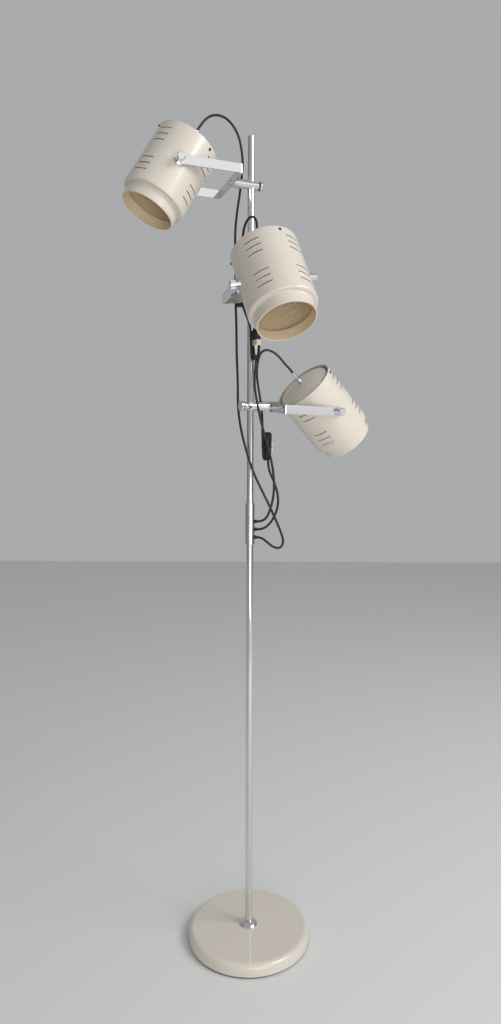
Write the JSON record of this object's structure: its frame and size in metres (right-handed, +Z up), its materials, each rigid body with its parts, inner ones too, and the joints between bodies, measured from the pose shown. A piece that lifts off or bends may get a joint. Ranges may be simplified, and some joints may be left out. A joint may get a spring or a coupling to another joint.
{
  "type": "floor lamp",
  "caption": "Floor lamp with swivelling perforated spotlight shades on U-yokes, clamped to a slim pole that stands on a round disc base.",
  "frame": {"origin": "centre of the base's underside, on the pole's axis", "axes": "+Z up along the pole; -Y to the front, the side seen in the picture; +X to the right"},
  "size_m": [0.5655, 0.4572, 1.8633],
  "materials": {
    "cream_lacquer": "gloss stove enamel, cream",
    "chrome": "polished chrome plate",
    "black_plastic": "black moulded plastic",
    "black_cord": "black flexible cord sheath",
    "cast_weight": "rough casting",
    "felt_pad": "dark felt",
    "holder_plastic": "pale moulded holder",
    "nylon": "natural nylon",
    "zinc_steel": "zinc-plated steel"
  },
  "bodies": {
    "stand": {"base_pad": "felt_pad", "base_shell": "cream_lacquer", "base_weight": "cast_weight", "foot_flange": "chrome", "junction_sleeve": "chrome", "lead_grommet": "black_plastic", "lower_cord_tail": "black_cord", "lower_cord_top": "black_cord", "lower_hank": "black_cord", "middle_cord_tail": "black_cord", "middle_cord_top": "black_cord", "pole": "chrome", "pole_anchor": "zinc_steel", "pole_cap": "chrome", "sleeve_bushings": "black_plastic", "terminal_block": "holder_plastic", "upper_cord": "black_cord", "upper_hank": "black_cord"},
    "upper_slider": {"upper_clamp_liner": "nylon"},
    "upper_clamp": {"upper_clamp_bar": "chrome", "upper_clamp_washer": "black_plastic", "upper_yoke_bolt": "chrome"},
    "upper_clamp_screw": {"upper_clamp_knob": "chrome"},
    "upper_arms": {"upper_yoke": "chrome"},
    "upper_head": {"upper_shade": "cream_lacquer", "upper_rear_cap": "cream_lacquer", "upper_cap_screws": "black_plastic", "upper_cord_gland": "chrome", "upper_lamp_holder": "holder_plastic", "upper_pivot_fittings": "chrome"},
    "upper_thumb_left": {"upper_pivot_knob_left": "chrome"},
    "upper_thumb_right": {"upper_pivot_knob_right": "chrome"},
    "middle_slider": {"middle_clamp_liner": "nylon"},
    "middle_clamp": {"middle_clamp_bar": "chrome", "middle_clamp_washer": "black_plastic", "middle_yoke_bolt": "chrome"},
    "middle_clamp_screw": {"middle_clamp_knob": "chrome"},
    "middle_arms": {"middle_yoke": "chrome"},
    "middle_head": {"middle_shade": "cream_lacquer", "middle_rear_cap": "cream_lacquer", "middle_cap_screws": "black_plastic", "middle_cord_gland": "chrome", "middle_lamp_holder": "holder_plastic", "middle_pivot_fittings": "chrome"},
    "middle_thumb_left": {"middle_pivot_knob_left": "chrome"},
    "middle_thumb_right": {"middle_pivot_knob_right": "chrome"},
    "lower_slider": {"lower_clamp_liner": "nylon"},
    "lower_clamp": {"lower_clamp_bar": "chrome", "lower_clamp_washer": "black_plastic", "lower_yoke_bolt": "chrome"},
    "lower_clamp_screw": {"lower_clamp_knob": "chrome"},
    "lower_arms": {"lower_yoke": "chrome"},
    "lower_head": {"lower_shade": "cream_lacquer", "lower_rear_cap": "cream_lacquer", "lower_cap_screws": "black_plastic", "lower_cord_gland": "chrome", "lower_lamp_holder": "holder_plastic", "lower_pivot_fittings": "chrome"},
    "lower_thumb_left": {"lower_pivot_knob_left": "chrome"},
    "lower_thumb_right": {"lower_pivot_knob_right": "chrome"}
  },
  "joints": [
    {"name": "upper_slide", "type": "slide", "parent": "stand", "child": "upper_slider", "axis": [0, 0, 1], "range_m": [0, 0.09], "deforming": ["lower_cord_tail", "lower_cord_top", "lower_hank", "middle_cord_tail", "middle_cord_top", "upper_cord", "upper_hank"]},
    {"name": "upper_swivel", "type": "hinge", "parent": "upper_slider", "child": "upper_clamp", "pos_m": [0, 0, 1.715], "axis": [0, 0, 1], "range_deg": [-120, 19], "deforming": ["lower_cord_tail", "lower_cord_top", "lower_hank", "middle_cord_tail", "middle_cord_top", "upper_cord", "upper_hank"]},
    {"name": "upper_roll", "type": "hinge", "parent": "upper_clamp", "child": "upper_arms", "pos_m": [-0.0463, -0.0175, 1.715], "axis": [-0.9354, -0.3535, 0], "range_deg": [-80, 80], "deforming": ["lower_cord_tail", "lower_cord_top", "lower_hank", "middle_cord_tail", "middle_cord_top", "upper_cord", "upper_hank"]},
    {"name": "upper_tilt", "type": "hinge", "parent": "upper_arms", "child": "upper_head", "pos_m": [-0.1768, -0.06681, 1.715], "axis": [0.3535, -0.9354, 0.0105], "range_deg": [-100, 40], "deforming": ["lower_cord_tail", "lower_cord_top", "lower_hank", "middle_cord_tail", "middle_cord_top", "upper_cord", "upper_hank"]},
    {"name": "upper_clamp_turn", "type": "hinge", "parent": "upper_clamp", "child": "upper_clamp_screw", "pos_m": [0.01403, 0.0053, 1.715], "axis": [-0.9354, -0.3535, 0], "range_deg": [0, 180]},
    {"name": "upper_thumb_left_turn", "type": "hinge", "parent": "upper_arms", "child": "upper_thumb_left", "pos_m": [-0.14941, -0.1393, 1.71581], "axis": [0.3535, -0.9354, 0.0105], "range_deg": [0, 180]},
    {"name": "upper_thumb_right_turn", "type": "hinge", "parent": "upper_arms", "child": "upper_thumb_right", "pos_m": [-0.20419, 0.00569, 1.71419], "axis": [0.3535, -0.9354, 0.0105], "range_deg": [0, 180]},
    {"name": "middle_slide", "type": "slide", "parent": "stand", "child": "middle_slider", "axis": [0, 0, 1], "range_m": [-0.015, 0.03], "deforming": ["lower_cord_tail", "lower_cord_top", "lower_hank", "middle_cord_tail", "middle_cord_top", "upper_cord", "upper_hank"]},
    {"name": "middle_swivel", "type": "hinge", "parent": "middle_slider", "child": "middle_clamp", "pos_m": [0, 0, 1.45], "axis": [0, 0, 1], "range_deg": [-34, 31], "deforming": ["lower_cord_tail", "lower_cord_top", "lower_hank", "middle_cord_tail", "middle_cord_top", "upper_cord", "upper_hank"]},
    {"name": "middle_roll", "type": "hinge", "parent": "middle_clamp", "child": "middle_arms", "pos_m": [0.01214, -0.04799, 1.45], "axis": [0.2453, -0.9694, 0], "range_deg": [-80, 80], "deforming": ["lower_cord_tail", "lower_cord_top", "lower_hank", "middle_cord_tail", "middle_cord_top", "upper_cord", "upper_hank"]},
    {"name": "middle_tilt", "type": "hinge", "parent": "middle_arms", "child": "middle_head", "pos_m": [0.04636, -0.18322, 1.45], "axis": [0.9583, 0.2425, 0.1513], "range_deg": [-100, 40], "deforming": ["lower_cord_tail", "lower_cord_top", "lower_hank", "middle_cord_tail", "middle_cord_top", "upper_cord", "upper_hank"]},
    {"name": "middle_clamp_turn", "type": "hinge", "parent": "middle_clamp", "child": "middle_clamp_screw", "pos_m": [-0.00368, 0.01454, 1.45], "axis": [0.2453, -0.9694, 0], "range_deg": [0, 180]},
    {"name": "middle_thumb_left_turn", "type": "hinge", "parent": "middle_arms", "child": "middle_thumb_left", "pos_m": [0.12063, -0.16443, 1.46172], "axis": [0.9583, 0.2425, 0.1513], "range_deg": [0, 180]},
    {"name": "middle_thumb_right_turn", "type": "hinge", "parent": "middle_arms", "child": "middle_thumb_right", "pos_m": [-0.0279, -0.20202, 1.43828], "axis": [0.9583, 0.2425, 0.1513], "range_deg": [0, 180]},
    {"name": "lower_slide", "type": "slide", "parent": "stand", "child": "lower_slider", "axis": [0, 0, 1], "range_m": [-0.09, 0], "deforming": ["lower_cord_tail", "lower_cord_top", "lower_hank", "middle_cord_tail", "middle_cord_top", "upper_cord", "upper_hank"]},
    {"name": "lower_swivel", "type": "hinge", "parent": "lower_slider", "child": "lower_clamp", "pos_m": [0, 0, 1.21], "axis": [0, 0, 1], "range_deg": [-34, 150], "deforming": ["lower_cord_tail", "lower_cord_top", "lower_hank", "middle_cord_tail", "middle_cord_top", "upper_cord", "upper_hank"]},
    {"name": "lower_roll", "type": "hinge", "parent": "lower_clamp", "child": "lower_arms", "pos_m": [0.04511, 0.02037, 1.21], "axis": [0.9114, 0.4115, 0], "range_deg": [-80, 80], "deforming": ["lower_cord_tail", "lower_cord_top", "lower_hank", "middle_cord_tail", "middle_cord_top", "upper_cord", "upper_hank"]},
    {"name": "lower_tilt", "type": "hinge", "parent": "lower_arms", "child": "lower_head", "pos_m": [0.17225, 0.07778, 1.21], "axis": [-0.4079, 0.9034, 0.1323], "range_deg": [-90, 55], "deforming": ["lower_cord_tail", "lower_cord_top", "lower_hank", "middle_cord_tail", "middle_cord_top", "upper_cord", "upper_hank"]},
    {"name": "lower_clamp_turn", "type": "hinge", "parent": "lower_clamp", "child": "lower_clamp_screw", "pos_m": [-0.01367, -0.00617, 1.21], "axis": [0.9114, 0.4115, 0], "range_deg": [0, 180]},
    {"name": "lower_thumb_left_turn", "type": "hinge", "parent": "lower_arms", "child": "lower_thumb_left", "pos_m": [0.14064, 0.14779, 1.22025], "axis": [-0.4079, 0.9034, 0.1323], "range_deg": [0, 180]},
    {"name": "lower_thumb_right_turn", "type": "hinge", "parent": "lower_arms", "child": "lower_thumb_right", "pos_m": [0.20387, 0.00776, 1.19975], "axis": [-0.4079, 0.9034, 0.1323], "range_deg": [0, 180]}
  ]
}
